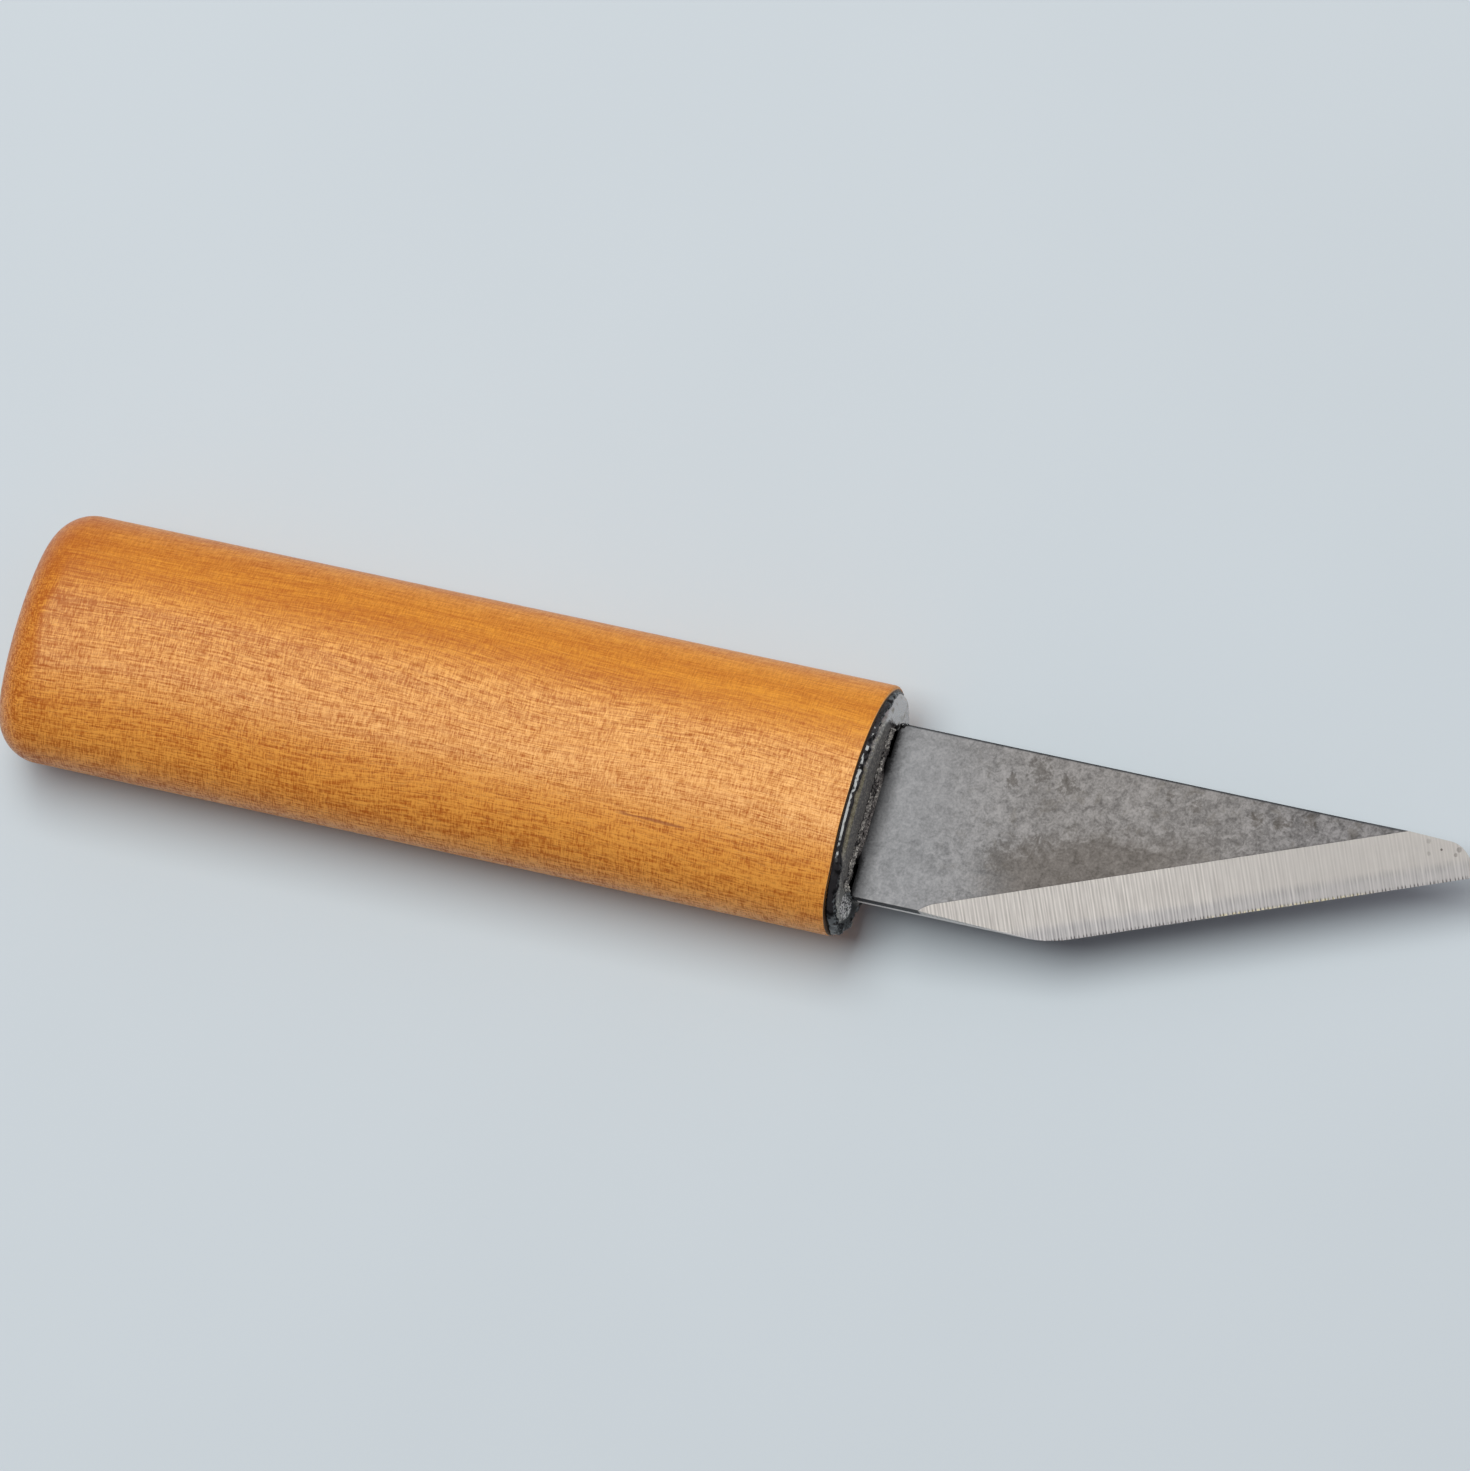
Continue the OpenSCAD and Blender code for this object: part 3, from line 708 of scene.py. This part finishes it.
def plate_steel():
    """Bare steel with wear, clean above the spine and under a thin grey film over the rest of its face, with
    ochre round its edge, painted shade on its lower foot and a rough light patch at its lower end."""
    finish, spot, (x, y, z) = start_finish("plate_steel")
    mark = spot.grain((6, 6, 6), 3, 0.6)
    stain = spot.grain((0.9, 0.9, 0.9), 3, 0.6)
    speck = spot.grain((4, 4, 4), 2, 0.6)
    tone = stain.rise(0.5, 0.75).tint(srgb(196, 190, 188), srgb(160, 151, 141))
    film = (y + (mark - 0.5) * 0.8).rise(9.9, 9.3) * x.rise(PLATE_FRONT - 0.8, PLATE_FRONT - 0.7)
    dirt_and_shade = speck.rise(0.45, 0.72).tint(srgb(144, 142, 138), srgb(214, 210, 198))
    patchy = (stain + y.rise(5, 1) * 0.3).rise(0.5, 0.75)
    edge = x.rise(PLATE_FRONT - 0.02, PLATE_FRONT - 0.06) * patchy * y.rise(-8, -5)
    dirt_and_shade = edge.tint(dirt_and_shade, speck.rise(0.3, 0.7).tint(srgb(132, 126, 102), srgb(196, 189, 160)))
    tone = film.tint(tone, dirt_and_shade)
    # Painted shade: the lower foot of the face is darkened, duller and less metallic, standing in for the
    # shade and the shadowed floor that it reflects
    under = y.rise(-9.6, -10.6) * z.rise(MID_Z + 0.6, MID_Z - 0.8)
    tone = (under * 0.95).tint(tone, srgb(40, 40, 40))
    down, high = (y + 11.4) / 1.5, (z - MID_Z - 0.3) / 2.1
    rough = (down * down + high * high + (mark - 0.5) * 1.0).rise(1.1, 0.7)
    tone = rough.tint(tone, speck.rise(0.43, 0.51).tint(srgb(66, 64, 62), srgb(255, 252, 248)))
    dull = stain.rise(0.5, 0.75) * 0.2 + mark * 0.1 + film * 0.15 + rough * 0.2 + under * 0.2
    return dress(finish, {"Base Color": tone, "Metallic": 1.0 - film * 0.55 - rough * 0.3 - under * 0.35,
                          "Roughness": 0.22 + dull, "Normal": (mark + speck * rough * 2).bump(0.015, 0.5)})


def ridge_tone(along):
    """The ridges' own waves as a tone: 0 in the grooves and 1 on the crests."""
    total = 0.5
    for length, share, turn in RIDGES:
        angle = along * (2 * math.pi / length) + turn
        total = total + angle.node("Math", {"operation": "SINE"}, {0: angle}) * (share * 0.17)
    return total


def edge_parts(x, y):
    """Lengths along and across the cutting edge, as sums of the place's own parts."""
    from_x, from_y = x - float(BELLY_POINT[0]), y - float(BELLY_POINT[1])
    return from_x * COS + from_y * SIN, from_y * COS - from_x * SIN


# Small dark pits near the tip: lengths along and across the edge, half width and strength
PITS = ((46.4, 3.5, 0.16, 0.8), (45.1, 4.6, 0.3, 0.25), (44.9, 3.3, 0.26, 0.25), (48.4, 3.2, 0.34, 0.4),
        (47.9, 2.7, 0.26, 0.4))


def ground_tone(spot, along, across):
    """Tone of the ground bevel: pale uneven lines across it, greyer by the cutting edge, smoky where the hard
    steel starts, a yellowish burr along part of the edge and a few dark pits near the tip."""
    ridge = ridge_tone(along)
    smoke = spot.grain((0.45, 0.45, 0.45), 3, 0.6)
    down = spot.node("CombineXYZ", {}, {"X": along, "Y": across, "Z": 0.0})
    line = down.grain((3.2, 0.2, 1.0), 2, 0.65)
    late = along.rise(6, 36)
    above = across + (smoke - 0.5) * 0.9
    strip = above.rise(WELD_D + 0.5, WELD_D - 0.8)
    weld = above.rise(WELD_D - 1.2, WELD_D - 0.2) * above.rise(WELD_D + 0.7, WELD_D - 0.2)
    mark = ((ridge - 0.5) * 0.8 + (line - 0.5) * 1.0) * (1.0 - late * 0.45)
    light = 0.5 + mark + (smoke - 0.5) * 0.2
    tone = light.rise(0.0, 1.0).tint(srgb(176, 170, 166), srgb(225, 219, 214))
    tone = (late * 0.4).tint(tone, srgb(176, 172, 169))
    hard = light.rise(0.1, 0.9).tint(srgb(138, 136, 141), srgb(204, 201, 202))
    tone = (strip * (0.68 - late * 0.2)).tint(tone, hard)
    smoky = weld * (0.5 - mark * 1.5).rise(0.2, 0.8) * smoke.rise(0.35, 0.6) * late
    tone = (smoky * 0.4).tint(tone, srgb(124, 122, 125))
    burr = across.rise(0.36, 0.12) * along.rise(17, 21) * along.rise(39, 35) * line.rise(0.46, 0.54)
    tone = (burr * 0.7).tint(tone, srgb(232, 220, 172))
    ragged = spot.grain((4, 4, 4), 2, 0.6) - 0.5
    for pit_along, pit_across, wide, strength in PITS:
        side, deep = (along - pit_along) / wide, (across - pit_across) / wide
        pit = (side * side + deep * deep + ragged * (wide * 10 - 1.4)).rise(1.0, 0.4)
        tone = (pit * strength).tint(tone, srgb(84, 74, 68))
    return tone


# Brown marks on the forge skin: lengths along and across the edge, half width and strength
MARKS = ((-2.1, 19.1, 0.8, 0.5), (1.4, 19.9, 1.5, 0.35), (4.2, 17.4, 1.2, 0.4), (-4.2, 10.2, 1.8, 0.3),
         (-0.7, 11.2, 1.4, 0.3), (12.7, 13.3, 0.5, 0.4), (16.0, 14.5, 0.6, 0.35), (18.8, 12.7, 0.8, 0.4),
         (25.8, 10.0, 1.0, 0.5), (28.7, 9.2, 1.1, 0.45), (31.8, 8.8, 0.8, 0.4))


def blade_iron():
    """Forge skin, a calm cool grey near the handle, warmer with brown smudges in the middle and cloudy
    towards the tip, with painted shade at the shoulder that is near black where the gap is open, a darker
    band above the crease and a bright bevel below it."""
    finish, spot, (x, y, z) = start_finish("blade_iron")
    along, across = edge_parts(x, y)
    past = along.sum("MAXIMUM", along * -1 - NOSE_AT, 0.0)
    lift = past * past * (NOSE_LIFT * BEVEL_W / BLADE_T)
    ground = (across + lift).rise(BEVEL_W + 0.04, BEVEL_W - 0.01) * z.rise(TOP_Z - 0.004, TOP_Z - 0.016)
    above = across - BEVEL_W
    cloud = spot.grain((0.16, 0.16, 0.16), 3, 0.5)
    blotch = spot.grain((0.9, 0.9, 0.9), 4, 0.62, 0.8)
    speck = spot.grain((3.4, 3.4, 3.4), 2, 0.6)
    smudge = spot.grain((0.55, 0.55, 0.55), 4, 0.65, 0.5).rise(0.54, 0.68)
    far = along.rise(-17, 4)
    tip = along.rise(17, 35)
    reach = 4.7 - along.rise(6, 16) * 2.2
    band = (above - reach + (blotch - 0.5) * 5.0).rise(2.2, -1.6)
    band = band * (along + (blotch - 0.5) * 8.0).rise(-9, -1) * along.rise(25, 12)
    calm = x.rise(SHOULDER_X + 15, SHOULDER_X + 5)
    spine = y.rise(SPINE_Y - 0.34, SPINE_Y - 0.16)
    heel = y.rise(LOW_Y + 0.05, LOW_Y + 0.01)
    uneven = ((blotch - 0.5) * (1.1 + tip * 0.3) + (speck - 0.5) * 0.7) * (1 - calm * 0.25)
    light = 0.5 + (cloud - 0.5) * 0.3 + uneven
    skin = light.rise(0.0, 1.0).tint(srgb(82, 82, 84), srgb(130, 129, 131))
    skin = far.tint(skin, light.rise(0.0, 1.0).tint(srgb(66, 63, 62), srgb(125, 121, 120)))
    skin = (tip * 0.85).tint(skin, light.rise(0.1, 0.9).tint(srgb(56, 54, 54), srgb(109, 106, 107)))
    skin = (smudge * (1 - calm) * 0.3).tint(skin, srgb(74, 68, 60))
    for mark_along, mark_across, wide, strength in MARKS:
        side, deep = (along - mark_along) / wide, (across - mark_across) / wide
        mark = (side * side + deep * deep + (blotch - 0.5) * 5.0 + (speck - 0.5) * 2.0).rise(1.4, 0.0)
        skin = (mark * strength).tint(skin, srgb(58, 52, 46))
    skin = (band * 0.8).tint(skin, light.rise(0.1, 0.9).tint(srgb(62, 57, 53), srgb(92, 86, 82)))
    # Painted shade: the skin darkens over the last few millimetres towards the shoulder, where the handle and
    # the plate shade it
    skin = (x.rise(SHOULDER_X + 2.6, SHOULDER_X) * 0.5).tint(skin, srgb(46, 46, 48))
    # Painted shade: a near black band on the blade just by the shoulder, where the gap to the plate lies open
    # and deep in shade
    open_gap = 1 - root_full(y) * 0.75
    dirt_and_shade = (x + (speck - 0.5) * 0.8).rise(SHOULDER_X + 0.75, SHOULDER_X + 0.1)
    skin = (dirt_and_shade * open_gap * 0.85).tint(skin, srgb(12, 12, 13))
    skin = (spine * 0.8).tint(skin, srgb(40, 42, 46))
    skin = (heel * 0.8).tint(skin, srgb(30, 30, 32))
    tone = ground.tint(skin, ground_tone(spot, along, across))
    relief = (blotch * 0.6 + speck * 0.4) * (1 - ground)
    return dress(finish, {"Base Color": tone, "Metallic": 0.8 + ground * 0.2,
                          "Roughness": 0.5 - ground * 0.12, "Normal": relief.bump(0.02, 0.3)})


def edge_steel():
    """Hard steel: the bevel's lower strip with painted shade as dark dots in the notches of its teeth, a
    bright heel side and a back showing wear.
    """
    finish, spot, (x, y, z) = start_finish("edge_steel")
    along, across = edge_parts(x, y)
    tone = ground_tone(spot, along, across)
    # Painted shade: dark dots in the notches between the teeth along the cutting edge
    notch_shade = across.rise(0.5, 0.16) * ridge_tone(along).rise(0.5, 0.3)
    tone = (notch_shade * 0.75).tint(tone, srgb(52, 48, 50))
    side = y.rise(LOW_Y + 0.03, LOW_Y + 0.005)
    tone = side.tint(tone, srgb(236, 232, 228))
    back = z.rise(BACK_Z + 0.02, BACK_Z + 0.004)
    stain = spot.grain((0.7, 0.7, 0.7), 4, 0.6)
    tone = back.tint(tone, stain.rise(0.3, 0.7).tint(srgb(120, 118, 116), srgb(165, 163, 160)))
    return dress(finish, {"Base Color": tone, "Metallic": 1.0 - side * 0.8, "Roughness": 0.38})


def floor_paper():
    """Plain pale floor with the least unevenness of tone."""
    finish, spot, _ = start_finish("floor")
    tone = spot.grain((0.02, 0.02, 0.02), 2).tint(srgb(205, 213, 219), srgb(209, 217, 223))
    return dress(finish, {"Base Color": tone, "Roughness": 0.85, "Specular IOR Level": 0.2})


# Half the side of the floor, in metres
FLOOR_HALF = 2.0


def make_floor():
    """One flat square under the knife."""
    mesh = bpy.data.meshes.new("floor")
    signs = ((-1, -1), (1, -1), (1, 1), (-1, 1))
    mesh.from_pydata([(x * FLOOR_HALF, y * FLOOR_HALF, 0) for x, y in signs], [], [(0, 1, 2, 3)])
    mesh.materials.append(floor_paper())
    floor = bpy.data.objects.new("floor", mesh)
    bpy.context.scene.collection.objects.link(floor)


# Camera, worked out in the frame of the mouth: its direction, its roll and where the picture's middle falls
VIEW_ALONG, VIEW_SIDE, VIEW_ROLL = 0.3247, math.radians(13.27), math.radians(12.091)
VIEW_MIDDLE = (16.422, -5.294)
VIEW_DISTANCE = 2000.0
PIXELS_PER_MM = 8.801
PICTURE_SIDE = 1471
SENSOR = 36.0
# How far the camera sees, in metres
SIGHT = 20


def make_camera():
    """Camera far off on the line that the view's angles give, turned about that line by the roll."""
    lean = math.sqrt(1 - VIEW_ALONG ** 2)
    back = np.array([VIEW_ALONG, -lean * math.sin(VIEW_SIDE), lean * math.cos(VIEW_SIDE)])
    level = np.array([lean, VIEW_ALONG * math.sin(VIEW_SIDE), -VIEW_ALONG * math.cos(VIEW_SIDE)])
    steep = np.array([0, math.cos(VIEW_SIDE), math.sin(VIEW_SIDE)])
    right = math.cos(VIEW_ROLL) * level + math.sin(VIEW_ROLL) * steep
    up = math.cos(VIEW_ROLL) * steep - math.sin(VIEW_ROLL) * level
    aim = np.array([MOUTH_X, 0, MID_Z]) - VIEW_MIDDLE[0] * level - VIEW_MIDDLE[1] * steep
    stand = (aim + VIEW_DISTANCE * back) / PER_METRE
    lens = bpy.data.cameras.new("camera")
    lens.sensor_width = SENSOR
    lens.lens = PIXELS_PER_MM * VIEW_DISTANCE * SENSOR / PICTURE_SIDE
    lens.clip_end = SIGHT
    camera = bpy.data.objects.new("camera", lens)
    camera.matrix_world = Matrix([(*axis, at) for axis, at in zip(np.stack([right, up, back], 1), stand)]
                                 + [(0, 0, 0, 1)])
    bpy.context.scene.collection.objects.link(camera)
    bpy.context.scene.camera = camera


# Lamp: its sides, its distance in metres, its power, its colour and the direction that it stands in
LAMP_WIDE, LAMP_LONG, LAMP_DISTANCE, LAMP_POWER = 0.63, 1.06, 1.1, 10.5
LAMP_COLOUR, LAMP_TOWARD = (1.0, 1.03, 1.0), (-0.15, 0.17, 0.97)
# Surround: its least strength, what the far side adds, and its colour
SURROUND_LEAST, SURROUND_FAR, SURROUND_COLOUR = 0.17, 0.2, (1.0, 0.93, 1.01, 1.0)


def make_light():
    """A broad soft lamp overhead, a little left and beyond, and a surround brighter on the far side."""
    lamp = bpy.data.lights.new("soft_lamp", "AREA")
    lamp.shape, lamp.size, lamp.size_y = "RECTANGLE", LAMP_WIDE, LAMP_LONG
    lamp.energy, lamp.color = LAMP_POWER, LAMP_COLOUR
    light = bpy.data.objects.new("soft_lamp", lamp)
    toward = Vector(LAMP_TOWARD).normalized()
    level = Vector((0, 1, 0)).cross(toward).normalized()
    axes = zip(level, toward.cross(level), toward, toward * LAMP_DISTANCE)
    light.matrix_world = Matrix([*axes, (0, 0, 0, 1)])
    bpy.context.scene.collection.objects.link(light)
    world = bpy.data.worlds.new("surround")
    world.use_nodes = True
    start = Tone(world.node_tree)
    away = start.node("SeparateXYZ", {}, {0: start.node("TexCoord", {}, {}, "Generated")}, "Y")
    shine = away.rise(-0.5, 0.8) * SURROUND_FAR + SURROUND_LEAST
    background = world.node_tree.nodes["Background"]
    world.node_tree.links.new(shine.socket, background.inputs["Strength"])
    background.inputs["Color"].default_value = SURROUND_COLOUR
    bpy.context.scene.world = world


bpy.context.scene.view_settings.view_transform = "Standard"
make_camera()
make_light()
make_floor()

wood = handle_wood()
resin = black_resin()
place("handle_upper", handle_half_mesh("handle_upper", 1), "handle_upper_half", wood)
place("handle_lower", handle_half_mesh("handle_lower", -1), "handle_lower_half", wood)
place("plate", mouth_plate_mesh(), "mouth_plate", plate_steel())
place("rim_bead", rim_resin_mesh(), "rim_resin", resin, RESIN_SHARP)
place("root_bead", root_resin_mesh(), "root_resin", resin, RESIN_SHARP)
place("iron", blade_iron_mesh(), "blade_iron", blade_iron(), BLADE_SHARP)
place("hard_edge", blade_edge_steel_mesh(), "blade_edge_steel", edge_steel(), BLADE_SHARP)
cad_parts["tang_bedding"].data.materials.clear()
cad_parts["tang_bedding"].data.materials.append(resin)
